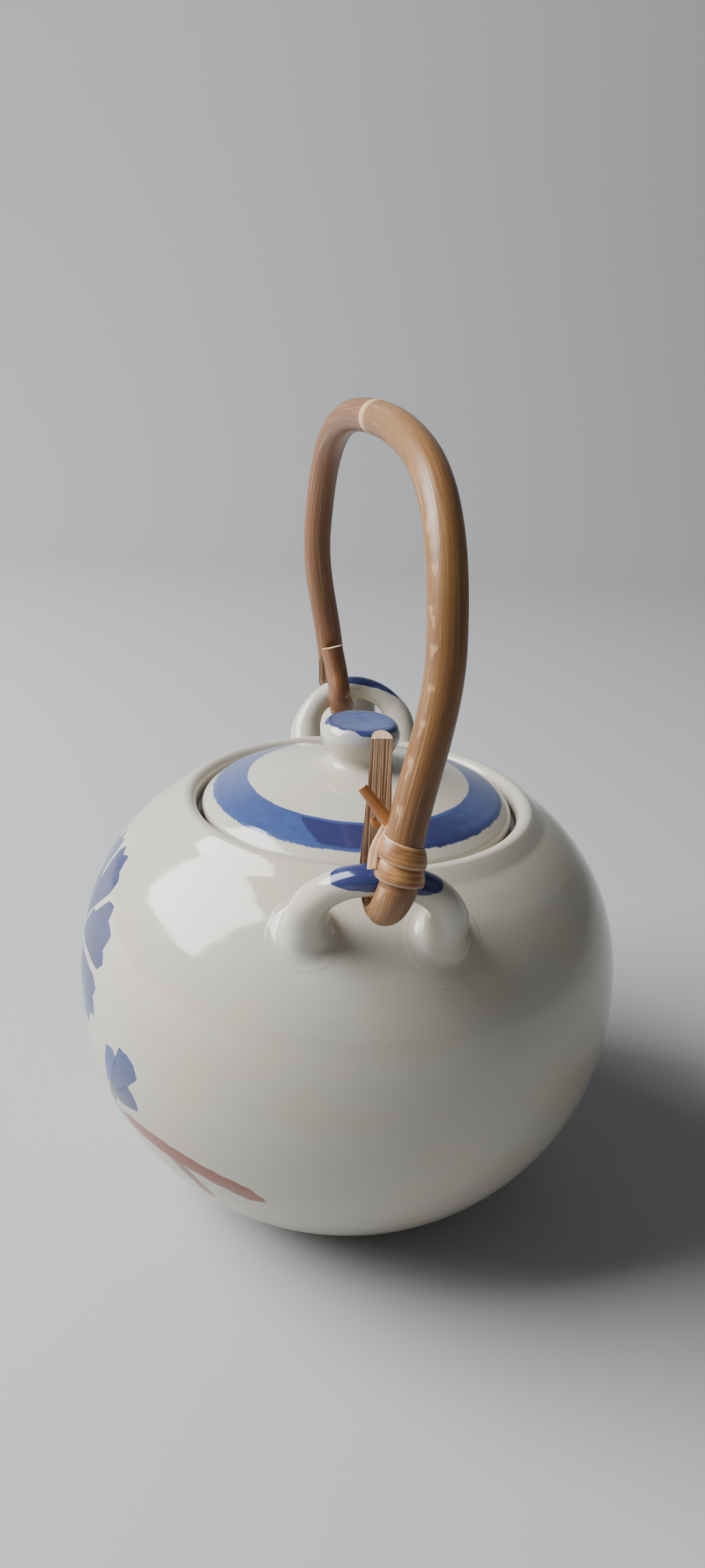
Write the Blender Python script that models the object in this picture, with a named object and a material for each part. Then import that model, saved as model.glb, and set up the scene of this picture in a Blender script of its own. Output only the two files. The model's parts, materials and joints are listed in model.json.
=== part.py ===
"""Round glazed teapot with a cane bail handle, as a set of separate solids.

Millimetres are turned into metres by MM. The origin is the centre of the flat
foot, +Z is up and +X points along the spout. The pot, its spout and its two
lugs are one fired group, the lid lifts off along Z, and the cane bail swings
about a line that runs through the arches of both lugs.
"""
import math

import bmesh
import bpy
from mathutils import Matrix, Vector

MM = 0.001
GAP = 0.3                      # clearance between solids that touch

# Pot: superelliptic belly, rolled lip, inner ledge for the lid
BELLY_R = 75.0
BELLY_Z = 64.0
SHOULDER_H = 62.2
SHOULDER_POWER = 2.34
LOWER_H = 71.7
LOWER_POWER = 2.0
WALL = 5.0
FLOOR_Z = 6.0
FLOOR_POWER = 2.4
FOOT_R = 38.5
MOUTH_R = 43.4
LIP_R = 46.2
LIP_Z = 117.4
LEDGE_Z = 111.7
THROAT_R = 37.0
POT_SEGMENTS = 40

# Lid: low dome with a locating ring below and a separate knob on top
LID_R = 41.9
LID_EDGE_Z = 114.8
LID_CROWN_Z = 126.8
DOME_CURVE = 0.00549           # drop of the dome per square millimetre of radius
LID_WALL = 4.4
LID_RING_R = 35.6
LID_RING_Z = 106.6
KNOB_NECK_R = 8.2
KNOB_R = 10.7
KNOB_TOP_R = 9.3
KNOB_TOP_Z = 138.3
LID_SEGMENTS = 40
KNOB_SEGMENTS = 24

# Spout: tapering tube on a bent centreline, and its strainer in the wall
SPOUT_PATH = ((56.0, 58.0), (86.0, 62.0), (78.0, 97.0), (89.5, 117.0))
SPOUT_BASE_R = 21.0
SPOUT_TIP_R = 9.0
SPOUT_WALL = 3.0
SPOUT_STEPS = 10
SPOUT_SIDES = 24
STRAINER_HOLE_R = 2.75
STRAINER_RING_R = 8.6
STRAINER_Z = 67.0
STRAINER_HOLES = 6

# Lugs: clay arches that lean outward from the shoulder
LUG_LEAN = math.radians(30)
LUG_ARCH_R = 15.6
LUG_BAR_R = 3.6
LUG_FOOT_R = 5.2
LUG_LEG = 11.0
LUG_TOP_X = 68.9
LUG_TOP_Z = 126.4
LUG_SIDES = 14

# Bail handle: one cane, its pared ends hooked under the lugs
HINGE_DROP = 1.5               # the swing line lies this far below the arches' centres
CANE_R = 4.25
CANE_SIDES = 12
HANDLE_Y = 0.6
HANDLE_TOP_Z = 215.0
HANDLE_SHOULDER_X = 79.4
BEND_CENTRE = (0.0, HANDLE_Y, HANDLE_TOP_Z - 50.0)
LEG_LEAN = math.radians(10)
LEG_REACH = 59.5
HANDLE_TWIST_LOW = math.radians(4.8)
HANDLE_TWIST_HIGH = math.radians(10.9)
TWIST_HEIGHT = 50.0
ARCH_STEPS = 15
HOOK_STEPS = 9
PARED_FLAT = 0.2               # offset of the pared flat from the cane's centre
PARED_START = 7.0              # the leg is a half cane up to this height above the hook
PARED_LENGTH = 6.4             # and grows to a full one over this height
TONGUE_STEPS = 3

# Binding strip wound round the rear leg, over its pared stretch
STRIP_WIDTH = 3.6
STRIP_THICK = 0.8
STRIP_PITCH = 4.1
STRIP_TURNS = 1.9
STRIP_STEPS = 20
STRIP_BASE_Z = 129.4
STRIP_START = math.radians(200)
STRIP_SLACK = 0.7              # extra room where the strip crosses the pared flat


class Side:
    """What differs between the spout side (+1) and the rear side (-1).

    The lug stands at lug_y, the cane crosses its bar at bar_y with a hook of
    radius hook_r, and the pared tongue runs through rows of (distance from the
    axis, Y, Z, flat, half width).
    """

    def __init__(self, name, sign, lug_y, bar_y, hook_r, tongue):
        self.name = name
        self.sign = sign
        self.lug_y = lug_y
        self.bar_y = bar_y
        self.hook_r = hook_r
        self.tongue = tongue


FRONT = Side("front", 1, -1.0, 4.4, 6.6, (
    (61.9, 4.6, 128.0, 0.2, 3.5),
    (64.0, 5.6, 133.0, 0.2, 3.5),
    (65.3, 7.5, 140.6, 0.2, 3.5),
))
BACK = Side("back", -1, -2.8, -1.4, 5.9, (
    (63.6, -1.5, 128.0, 0.2, 3.6),
    (64.8, -1.3, 134.0, 0.2, 3.2),
    (65.6, -1.0, 145.0, 0.2, 2.6),
    (66.6, -0.7, 158.5, 0.2, 2.2),
))


# ---------------------------------------------------------------- materials

def material(name, colour, roughness, coat=0.0):
    mat = bpy.data.materials.new(name)
    mat.use_nodes = True
    shader = mat.node_tree.nodes["Principled BSDF"]
    shader.inputs["Base Color"].default_value = (*colour, 1.0)
    shader.inputs["Roughness"].default_value = roughness
    shader.inputs["Metallic"].default_value = 0.0
    shader.inputs["Coat Weight"].default_value = coat
    return mat


# ---------------------------------------------------------------- mesh tools

def add_object(name, bm, mat):
    """Turn a bmesh in millimetres into a smooth-shaded object in metres."""
    bmesh.ops.remove_doubles(bm, verts=bm.verts, dist=0.001)
    bmesh.ops.recalc_face_normals(bm, faces=bm.faces)
    bmesh.ops.scale(bm, vec=(MM, MM, MM), verts=bm.verts)
    mesh = bpy.data.meshes.new(name)
    bm.to_mesh(mesh)
    bm.free()
    mesh.shade_smooth()
    mesh.set_sharp_from_angle(angle=math.radians(40))
    obj = bpy.data.objects.new(name, mesh)
    if mat:
        mesh.materials.append(mat)
    bpy.context.collection.objects.link(obj)
    return obj


def turned(name, outline, segments, mat):
    """Spin an outline of (radius, z) points, which starts and ends on the axis."""
    bm = bmesh.new()
    points = [bm.verts.new((r, 0.0, z)) for r, z in outline]
    for a, b in zip(points, points[1:]):
        bm.edges.new((a, b))
    bmesh.ops.spin(bm, geom=bm.verts[:] + bm.edges[:], cent=(0, 0, 0), axis=(0, 0, 1),
                   angle=math.tau, steps=segments, use_merge=True)
    bmesh.ops.remove_doubles(bm, verts=bm.verts, dist=0.001)
    bmesh.ops.dissolve_degenerate(bm, edges=bm.edges, dist=0.0005)
    return add_object(name, bm, mat)


def lofted(name, rings, mat, closed=False):
    """Skin a list of equal rings; the two ends are capped, or joined if closed."""
    bm = bmesh.new()
    loops = [[bm.verts.new(p) for p in ring] for ring in rings]
    pairs = list(zip(loops, loops[1:]))
    if closed:
        pairs.append((loops[-1], loops[0]))
    for low, high in pairs:
        for i in range(len(low)):
            j = (i + 1) % len(low)
            bm.faces.new((low[i], low[j], high[j], high[i]))
    if not closed:
        bm.faces.new(loops[0])
        bm.faces.new(loops[-1])
    return add_object(name, bm, mat)


def cut(obj, cutter):
    """Subtract a guide solid from an object and hide the guide."""
    modifier = obj.modifiers.new("cut_" + cutter.name, "BOOLEAN")
    modifier.operation = "DIFFERENCE"
    modifier.solver = "EXACT"
    modifier.object = cutter
    cutter.hide_render = True
    cutter.display_type = "WIRE"


def bezier(points, t):
    """A cubic Bezier curve through vectors, at t from 0 to 1."""
    a, b, c, d = points
    s = 1.0 - t
    return a * s**3 + b * (3 * s * s * t) + c * (3 * s * t * t) + d * t**3


def arc_points(centre, radius, start, end, steps):
    """Points of an arc in the (radius, z) plane, angles in degrees."""
    points = []
    for i in range(steps + 1):
        angle = math.radians(start + (end - start) * i / steps)
        points.append((centre[0] + radius * math.cos(angle),
                       centre[1] + radius * math.sin(angle)))
    return points


# ---------------------------------------------------------------- pot

def superellipse(radius, height, power, start, end, steps):
    """Quarter outline round the belly's centre; start and end in degrees above it."""
    points = []
    for i in range(steps + 1):
        angle = math.radians(start + (end - start) * i / steps)
        r = radius * math.cos(angle) ** (2 / power)
        z = abs(math.sin(angle)) ** (2 / power) * height
        points.append((r, BELLY_Z + math.copysign(z, angle)))
    return points


def angle_at_radius(radius, belly, power):
    """The superellipse angle, in degrees, at which the outline has this radius."""
    return math.degrees(math.acos((radius / belly) ** (power / 2)))


def outer_wall(offset):
    """The pot's outside from below the lip down to the foot, grown by offset."""
    belly = BELLY_R + offset
    top = angle_at_radius(50.0, belly, SHOULDER_POWER)
    bottom = angle_at_radius(FOOT_R + 0.6, belly, LOWER_POWER)
    upper = superellipse(belly, SHOULDER_H + offset, SHOULDER_POWER, top, 0, 9)
    lower = superellipse(belly, LOWER_H + offset, LOWER_POWER, 0, -bottom, 8)
    return upper + lower[1:]


def make_pot(glaze):
    inner = BELLY_R - WALL
    top = angle_at_radius(55.0, inner, SHOULDER_POWER)
    outline = [(0.0, FLOOR_Z)]
    outline += superellipse(inner, BELLY_Z - FLOOR_Z, FLOOR_POWER, -75, 0, 6)
    outline += superellipse(inner, SHOULDER_H - WALL, SHOULDER_POWER, 0, top, 5)[1:]
    outline += [(44.0, 106.6), (39.0, 107.6)]
    outline += [(THROAT_R, 109.0), (THROAT_R, 111.0), (THROAT_R + 0.7, LEDGE_Z)]
    outline += [(MOUTH_R - 0.4, LEDGE_Z), (MOUTH_R, LEDGE_Z + 0.4)]
    outline += arc_points((LIP_R - 0.2, LIP_Z - 2.6), 2.6, 180, 60, 4)
    outline += outer_wall(0.0)
    outline += [(FOOT_R, 2.2), (FOOT_R - 0.5, 0.5), (FOOT_R - 1.5, 0.0), (0.0, 0.0)]
    pot = turned("pot_body", outline, POT_SEGMENTS, glaze)
    for index, (y, z) in enumerate(strainer_centres()):
        cut(pot, strainer_pin(index, y, z))
    return pot


def strainer_centres():
    centres = [(0.0, STRAINER_Z)]
    for i in range(STRAINER_HOLES):
        angle = math.tau * (i + 0.5) / STRAINER_HOLES
        centres.append((STRAINER_RING_R * math.cos(angle),
                        STRAINER_Z + STRAINER_RING_R * math.sin(angle)))
    return centres


def strainer_pin(index, y, z):
    """A cylinder along X that pierces one strainer hole in the wall."""
    bm = bmesh.new()
    turn = Matrix.Translation((72.0, y, z)) @ Matrix.Rotation(math.pi / 2, 4, "Y")
    bmesh.ops.create_cone(bm, cap_ends=True, segments=10, radius1=STRAINER_HOLE_R,
                          radius2=STRAINER_HOLE_R, depth=26.0, matrix=turn)
    return add_object(f"guide_strainer_{index}", bm, None)


def wall_guide():
    """The pot's solid outside, grown by the gap, that trims what is luted on it."""
    outline = [(0.0, 116.0)] + outer_wall(GAP) + [(0.0, 2.0)]
    return turned("guide_wall", outline, POT_SEGMENTS, None)


# ---------------------------------------------------------------- spout

def spout_frame(t):
    """Centre, sideways normal and radius of the spout at t from base to tip."""
    path = [Vector((x, 0.0, z)) for x, z in SPOUT_PATH]
    centre = bezier(path, t)
    along = (bezier(path, min(t + 0.01, 1.0)) - bezier(path, max(t - 0.01, 0.0))).normalized()
    normal = Vector((0, 1, 0)).cross(along)
    radius = SPOUT_TIP_R + (SPOUT_BASE_R - SPOUT_TIP_R) * (1 - t) ** 1.5
    return centre, normal, radius


def spout_ring(t, shrink, ahead=0.0):
    """One ring across the spout, shrunk inward and moved ahead along its axis."""
    centre, normal, radius = spout_frame(t)
    centre = centre + normal.cross(Vector((0, 1, 0))) * ahead
    ring = []
    for i in range(SPOUT_SIDES):
        angle = math.tau * i / SPOUT_SIDES
        across = normal * math.cos(angle) + Vector((0, 1, 0)) * math.sin(angle)
        ring.append(centre + across * (radius - shrink))
    return ring


def make_spout(glaze, wall):
    outside = [spout_ring(i / SPOUT_STEPS, 0.0) for i in range(SPOUT_STEPS + 1)]
    lip = [spout_ring(1.0, SPOUT_WALL * 0.5, ahead=0.7)]
    inside = [spout_ring(1 - i / SPOUT_STEPS, SPOUT_WALL) for i in range(SPOUT_STEPS + 1)]
    spout = lofted("spout", outside + lip + inside, glaze, closed=True)
    cut(spout, wall)
    return spout


# ---------------------------------------------------------------- lugs

def lug_mesh(glaze):
    """A round bar bent into an arch in the YZ plane, its centre at the origin."""
    rings = []
    legs = [(-1, LUG_LEG), (-1, LUG_LEG * 0.4)]
    arch_steps = 12
    stations = []
    for sign, drop in legs:
        stations.append((Vector((0, sign * LUG_ARCH_R, -drop)), math.radians(-90), drop))
    for i in range(arch_steps + 1):
        angle = math.radians(-90 + 180 * i / arch_steps)
        stations.append((Vector((0, math.sin(angle), math.cos(angle))) * LUG_ARCH_R, angle, 0.0))
    for sign, drop in reversed(legs):
        stations.append((Vector((0, -sign * LUG_ARCH_R, -drop)), math.radians(90), drop))
    for centre, angle, drop in stations:
        outward = Vector((0, math.sin(angle), math.cos(angle)))
        swell = max(0.0, abs(math.degrees(angle)) - 35) / 55 * 0.45 + drop / LUG_LEG * 0.55
        radius = LUG_BAR_R + (LUG_FOOT_R - LUG_BAR_R) * swell
        ring = []
        for k in range(LUG_SIDES):
            turn = math.tau * k / LUG_SIDES
            ring.append(centre + (outward * math.cos(turn)
                                  + Vector((1, 0, 0)) * math.sin(turn)) * radius)
        rings.append(ring)
    return lofted("lug_front", rings, glaze)


def lug_arch_centre():
    """Distance from the axis and height of the arch's centre."""
    return (LUG_TOP_X - LUG_ARCH_R * math.sin(LUG_LEAN),
            LUG_TOP_Z - LUG_ARCH_R * math.cos(LUG_LEAN))


def make_lugs(glaze, wall):
    reach, height = lug_arch_centre()
    front = lug_mesh(glaze)
    back = bpy.data.objects.new("lug_back", front.data)
    bpy.context.collection.objects.link(back)
    for lug, side, heading in ((front, FRONT, 0.0), (back, BACK, math.pi)):
        lug.location = Vector((side.sign * reach, side.lug_y, height)) * MM
        lug.rotation_euler = (0.0, LUG_LEAN, heading)
        cut(lug, wall)
    return front, back


# ---------------------------------------------------------------- lid and knob

def dome_z(r):
    return LID_CROWN_Z - DOME_CURVE * r * r


def make_lid(glaze):
    outline = [(0.0, LID_CROWN_Z)]
    outline += [(r, dome_z(r)) for r in (6.0, 12.0, 19.0, 26.0, 33.0, 38.6)]
    outline += arc_points((LID_R - 2.5, LID_EDGE_Z - 0.3), 2.5, 50, -65, 5)
    outline += [(LID_RING_R, LEDGE_Z + GAP), (LID_RING_R, LID_RING_Z + 0.8)]
    outline += [(LID_RING_R - 0.8, LID_RING_Z), (LID_RING_R - 2.8, LID_RING_Z)]
    outline += [(LID_RING_R - 3.6, LID_RING_Z + 0.8)]
    outline += [(r, dome_z(r) - LID_WALL) for r in (31.6, 26.0, 19.0, 12.0)]
    outline += [(0.0, LID_CROWN_Z - LID_WALL)]
    return turned("lid", outline, LID_SEGMENTS, glaze)


def make_knob(glaze):
    outline = [(0.0, KNOB_TOP_Z - 0.3), (5.0, KNOB_TOP_Z - 0.1)]
    outline += [(KNOB_TOP_R - 0.5, KNOB_TOP_Z), (KNOB_TOP_R + 0.2, KNOB_TOP_Z - 0.5)]
    outline += [(KNOB_R - 0.4, KNOB_TOP_Z - 2.0), (KNOB_R, KNOB_TOP_Z - 3.6)]
    outline += [(KNOB_R - 0.5, KNOB_TOP_Z - 5.4), (KNOB_NECK_R + 0.9, KNOB_TOP_Z - 7.4)]
    outline += [(KNOB_NECK_R, KNOB_TOP_Z - 9.0), (KNOB_NECK_R + 0.3, KNOB_TOP_Z - 10.4)]
    outline += [(r, dome_z(r) + GAP) for r in (KNOB_NECK_R + 1.2, 6.0, 3.0, 0.0)]
    return turned("lid_knob", outline, KNOB_SEGMENTS, glaze)


# ---------------------------------------------------------------- bail handle

def bar_crossing(side):
    """Where the cane crosses the lug bar: the bar's centre and its outward normal."""
    reach, height = lug_arch_centre()
    sine = (side.bar_y - side.lug_y) / LUG_ARCH_R
    cosine = math.sqrt(1 - sine * sine)
    centre = Vector((side.sign * (reach + LUG_ARCH_R * math.sin(LUG_LEAN) * cosine),
                     side.bar_y, height + LUG_ARCH_R * math.cos(LUG_LEAN) * cosine))
    normal = Vector((0.0, sine * math.cos(LUG_LEAN), cosine)).normalized()
    return centre, normal


def arch_point(side, t):
    """The cane's centre along one half of the arch, from the hook up to the top."""
    bar, normal = bar_crossing(side)
    start_x = abs(bar[0]) + side.hook_r * math.cos(LEG_LEAN)
    start_z = bar[2] + side.hook_r * math.sin(LEG_LEAN) * normal[2]
    flat = bezier([Vector((start_x, start_z)),
                   Vector((start_x - LEG_REACH * math.sin(LEG_LEAN),
                           start_z + LEG_REACH * math.cos(LEG_LEAN))),
                   Vector((HANDLE_SHOULDER_X, HANDLE_TOP_Z)),
                   Vector((0.0, HANDLE_TOP_Z))], t)
    rise = min(max((flat[1] - start_z) / TWIST_HEIGHT, 0.0), 1.0)
    ease = rise * rise * (3 - 2 * rise)
    twist = HANDLE_TWIST_LOW + (HANDLE_TWIST_HIGH - HANDLE_TWIST_LOW) * ease
    return Vector((side.sign * flat[0] * math.cos(twist),
                   side.sign * flat[0] * math.sin(twist) + HANDLE_Y, flat[1]))


def hook_point(side, t):
    """Centre and bend side of the cane round the bar, from the leg (0) to the tongue (1)."""
    bar, normal = bar_crossing(side)
    angle = -LEG_LEAN + (math.pi + LEG_LEAN) * t
    out = Vector((side.sign * math.cos(angle), 0, 0)) - normal * math.sin(angle)
    centre = bar + out * side.hook_r
    leg = arch_point(side, 0.0)
    leg_shift = leg[1] - (bar[1] + side.hook_r * math.sin(LEG_LEAN) * normal[1])
    tongue_shift = side.tongue[0][1] - bar[1]
    centre[0] += (leg[0] - side.sign * (abs(bar[0]) + side.hook_r * math.cos(LEG_LEAN))) * (1 - t)
    centre[1] += leg_shift * (1 - t) ** 2 + tongue_shift * t * t
    return centre, -out


def smooth_rows(rows, steps):
    """Catmull-Rom interpolation of rows of numbers; the first row is left out."""
    result = []
    padded = [rows[0]] + list(rows) + [rows[-1]]
    for a, b, c, d in zip(padded, padded[1:], padded[2:], padded[3:]):
        for i in range(1, steps + 1):
            t = i / steps
            result.append([0.5 * (2 * q + (r - p) * t + (2 * p - 5 * q + 4 * r - s) * t * t
                                  + (3 * q - p - 3 * r + s) * t**3)
                           for p, q, r, s in zip(a, b, c, d)])
    return result


def leg_flat(height):
    """How far the leg reaches on the bend's inner side, at a height above the hook."""
    grown = min(max((height - PARED_START) / PARED_LENGTH, 0.0), 1.0)
    return PARED_FLAT + (CANE_R - PARED_FLAT) * grown


def cane_half(side):
    """Stations from the top of the arch outwards: (centre, bend side, flat, half width).

    The bend side is the direction of the bend's inner side, where the flat is pared.
    """
    stations = []
    foot_z = arch_point(side, 0.0)[2]
    for i in range(ARCH_STEPS + 1):
        centre = arch_point(side, (1 - i / ARCH_STEPS) ** 1.6)
        bend_side = Vector(BEND_CENTRE) - centre
        stations.append((centre, bend_side, leg_flat(centre[2] - foot_z), CANE_R))
    for i in range(1, HOOK_STEPS + 1):
        t = i / HOOK_STEPS
        centre, bend_side = hook_point(side, t)
        width = CANE_R + (side.tongue[0][4] - CANE_R) * t * t
        stations.append((centre, bend_side, PARED_FLAT, width))
    end = stations[-1]
    rows = [(side.sign * end[0][0], end[0][1], end[0][2], end[2], end[3])]
    rows += side.tongue
    for reach, y, z, flat, width in smooth_rows(rows, TONGUE_STEPS):
        outward = Vector((side.sign, 0, 0))
        stations.append((Vector((side.sign * reach, y, z)), outward, flat, width))
    return stations


def cane_ring(centre, inward, across, flat, width):
    """One section of the cane: a circle, cut flat on the side of the bend's centre."""
    ring = []
    for k in range(CANE_SIDES):
        angle = math.tau * (k + 0.5) / CANE_SIDES
        u = min(CANE_R * math.cos(angle), flat)
        v = width * math.sin(angle)
        ring.append(centre + inward * u + across * v)
    return ring


def make_cane(rattan):
    stations = cane_half(BACK)[::-1] + cane_half(FRONT)[1:]
    centres = [s[0] for s in stations]
    rings = []
    for i, (centre, bend_side, flat, width) in enumerate(stations):
        along = centres[min(i + 1, len(centres) - 1)] - centres[max(i - 1, 0)]
        along.normalize()
        inward = (bend_side - along * bend_side.dot(along)).normalized()
        rings.append(cane_ring(centre, inward, along.cross(inward), flat, width))
    return lofted("handle_cane", rings, rattan)


def leg_at_height(side, height):
    """The arch's centre point at a given height, by bisection."""
    low, high = 0.0, 0.5
    for _ in range(40):
        middle = (low + high) / 2
        if arch_point(side, middle)[2] < height:
            low = middle
        else:
            high = middle
    return arch_point(side, low)


def make_binding(side, rattan):
    """A flat strip wound round the leg: round its bark, straight over its pared flat."""
    clear = GAP + STRIP_THICK / 2
    foot_z = arch_point(side, 0.0)[2]
    rings = []
    for i in range(int(STRIP_TURNS * STRIP_STEPS) + 1):
        turns = i / STRIP_STEPS
        height = STRIP_BASE_Z + STRIP_PITCH * turns
        up = (leg_at_height(side, height + 2) - leg_at_height(side, height - 2)).normalized()
        middle = leg_at_height(side, height)
        inward = Vector(BEND_CENTRE) - middle
        inward = (inward - up * inward.dot(up)).normalized()
        across = inward.cross(up)
        angle = math.tau * turns + STRIP_START
        round_r = CANE_R + clear
        pared = leg_flat(height + STRIP_WIDTH / 2 - foot_z) + STRIP_SLACK
        inner_r = round_r if math.cos(angle) > 0 else min(pared, CANE_R) + clear
        centre = middle - inward * (inner_r * math.cos(angle)) + across * (
            round_r * math.sin(angle))
        normal = (across * (math.sin(angle) / round_r)
                  - inward * (math.cos(angle) / inner_r)).normalized()
        half_w = up * (STRIP_WIDTH / 2)
        half_t = normal * (STRIP_THICK / 2)
        rings.append([centre - half_w - half_t, centre + half_w - half_t,
                      centre + half_w + half_t, centre - half_w + half_t])
    return lofted("binding_" + side.name, rings, rattan)


# ---------------------------------------------------------------- assembly

def place_under(parent_name, location, children):
    """Parent objects to an empty that stands on their joint's axis."""
    empty = bpy.data.objects.new(parent_name, None)
    empty.location = Vector(location) * MM
    bpy.context.collection.objects.link(empty)
    bpy.context.view_layer.update()
    for child in children:
        child.parent = empty
        child.matrix_parent_inverse = empty.matrix_world.inverted()


def build():
    for obj in list(bpy.data.objects):
        bpy.data.objects.remove(obj, do_unlink=True)
    glaze = material("cream_glaze", (0.72, 0.70, 0.66), 0.14, coat=0.6)
    cane = material("rattan_cane", (0.42, 0.24, 0.11), 0.38)
    strip = material("rattan_strip", (0.55, 0.34, 0.15), 0.45)

    wall = wall_guide()
    pot = make_pot(glaze)
    spout = make_spout(glaze, wall)
    lugs = make_lugs(glaze, wall)
    place_under("pot_group", (0, 0, 0), (pot, spout, *lugs))

    lid = make_lid(glaze)
    knob = make_knob(glaze)
    place_under("lid_group", (0, 0, LEDGE_Z), (lid, knob))

    handle = [make_cane(cane), make_binding(BACK, strip)]
    hinge_y = (FRONT.lug_y + BACK.lug_y) / 2
    hinge_z = lug_arch_centre()[1] - HINGE_DROP
    place_under("handle_group", (0, hinge_y, hinge_z), handle)


build()
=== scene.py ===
"""Looks of the glazed teapot with its cane bail handle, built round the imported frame.

Shapes are worked out in millimetres in the frame's own axes (+X to the spout, +Z up,
foot at z = 0) and become metres in add_mesh.
"""
import json
import math

import bpy
import numpy as np
from mathutils import Matrix, Vector, noise

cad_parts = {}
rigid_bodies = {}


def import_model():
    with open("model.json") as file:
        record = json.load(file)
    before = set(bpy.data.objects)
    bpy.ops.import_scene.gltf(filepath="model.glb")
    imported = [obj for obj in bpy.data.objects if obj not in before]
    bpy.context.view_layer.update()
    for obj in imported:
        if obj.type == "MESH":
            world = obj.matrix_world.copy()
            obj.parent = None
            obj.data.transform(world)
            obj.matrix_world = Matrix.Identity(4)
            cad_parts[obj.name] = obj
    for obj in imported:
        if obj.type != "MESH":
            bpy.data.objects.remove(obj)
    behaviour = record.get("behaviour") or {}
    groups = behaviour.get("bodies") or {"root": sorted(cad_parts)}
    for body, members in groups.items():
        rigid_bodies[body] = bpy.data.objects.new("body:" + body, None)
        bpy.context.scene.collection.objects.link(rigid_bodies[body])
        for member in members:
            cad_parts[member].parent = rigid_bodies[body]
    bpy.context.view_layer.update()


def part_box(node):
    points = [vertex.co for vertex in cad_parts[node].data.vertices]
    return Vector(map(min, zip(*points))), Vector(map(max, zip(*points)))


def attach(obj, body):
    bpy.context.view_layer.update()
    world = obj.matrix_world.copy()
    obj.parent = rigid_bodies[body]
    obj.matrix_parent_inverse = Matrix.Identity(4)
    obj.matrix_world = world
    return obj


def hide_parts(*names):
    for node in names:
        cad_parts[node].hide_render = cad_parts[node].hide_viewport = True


for leftover in list(bpy.data.objects):
    bpy.data.objects.remove(leftover, do_unlink=True)
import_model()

MM = 0.001
TOP_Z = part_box("handle_cane")[1].z / MM
LID_TOP_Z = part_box("lid_knob")[1].z / MM
BELLY_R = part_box("pot_body")[1].y / MM
LIP_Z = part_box("pot_body")[1].z / MM

# Pot
BELLY_Z = 64.0
SHOULDER_H = 62.2
SHOULDER_POWER = 2.34
LOWER_H = 71.7
LOWER_POWER = 2.0
WALL = 5.0
FLOOR_Z = 6.0
FLOOR_POWER = 2.4
FOOT_R = 38.5
MOUTH_R = 43.4
LIP_R = 46.2
LEDGE_Z = 111.7
THROAT_R = 37.0
POT_SEGMENTS = 240

# Strainer and spout
SPOUT_PATH = ((56.0, 58.0), (86.0, 62.0), (78.0, 97.0), (89.5, 117.0))
SPOUT_BASE_R = 21.0
SPOUT_TIP_R = 9.0
SPOUT_WALL = 3.0
STRAINER_HOLE_R = 2.75
STRAINER_RING_R = 8.6
STRAINER_Z = 67.0
STRAINER_HOLES = 6

# Lid and knob
LID_R = 41.9
LID_EDGE_Z = 114.8
LID_CROWN_Z = 126.8
DOME_CURVE = 0.00549
LID_WALL = 4.4
LID_RING_R = 35.6
LID_RING_Z = 106.6
KNOB_NECK_R = 8.2
KNOB_R = 10.7
KNOB_TOP_R = 9.3

# Lugs
LUG_LEAN = math.radians(30)
LUG_ARCH_R = 15.6
LUG_BAR_R = 3.6
LUG_FOOT_R = 5.6
LUG_TOP_X = 68.9
LUG_TOP_Z = 126.4

# Bail handle
CANE_R = 4.2
HANDLE_Y = 0.6
HANDLE_TOP_Z = TOP_Z - CANE_R - 0.1
HANDLE_SHOULDER_X = 79.4
LEG_LEAN = math.radians(10)
LEG_REACH = 59.5
HANDLE_TWIST_LOW = math.radians(4.8)
HANDLE_TWIST_HIGH = math.radians(10.9)
TWIST_HEIGHT = 50.0
BEND_CENTRE = (0.0, HANDLE_Y, HANDLE_TOP_Z - 50.0)
PARED_FLAT = 0.2
PARED_START = 7.0              # the leg is a half cane up to this height above the hook
PARED_LENGTH = 6.4             # and grows to a full one over this height

# Strip wound round the rear leg, over its pared stretch
STRIP_TURNS = 1.95
STRIP_START = math.radians(200)
STRIP_BASE_Z = 129.2
STRIP_PITCH = 4.0
STRIP_TILT = 0.20              # each turn leans over the one below, like a shingle
STRIP_HALF_WIDTH = 2.25
STRIP_THICK = 0.8
STRIP_CLEAR = 0.64             # from the cane's surface to the strip's middle
STRIP_UNEVEN = 0.08
STRIP_SLACK = 0.7              # extra room where the strip crosses the pared flat
STRIP_REACH = 2.3              # how far above its middle a turn has to clear the leg

# Camera: where the picture is taken from, and how the lens is turned
CAMERA_AT = (-281.03, 15.22, 233.03)
CAMERA_DOWN = 0.3818
CAMERA_LEFT = -0.0053
CAMERA_ROLL = 0.0585
CAMERA_LENS = 25.676

# Colours, linear
CREAM = (0.50, 0.47, 0.40, 1)
CREAM_WARM = (0.51, 0.455, 0.365, 1)
SPECK = (0.16, 0.12, 0.09, 1)
BARE_CLAY = (0.52, 0.40, 0.28, 1)
BLUE_WASH = (0.036, 0.084, 0.26, 1)
BLUE_DEEP = (0.006, 0.011, 0.09, 1)
TERRACOTTA = (0.21, 0.040, 0.005, 1)
LEAF_GREEN = (0.035, 0.075, 0.035, 1)


class Side:
    """One end of the cane: its lug at lug_y, its crossing of the bar, hook and tongue."""

    def __init__(self, name, sign, lug_y, bar_y, hook_r, tongue):
        self.name = name
        self.sign = sign
        self.lug_y = lug_y
        self.bar_y = bar_y
        self.hook_r = hook_r
        self.tongue = tongue


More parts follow.
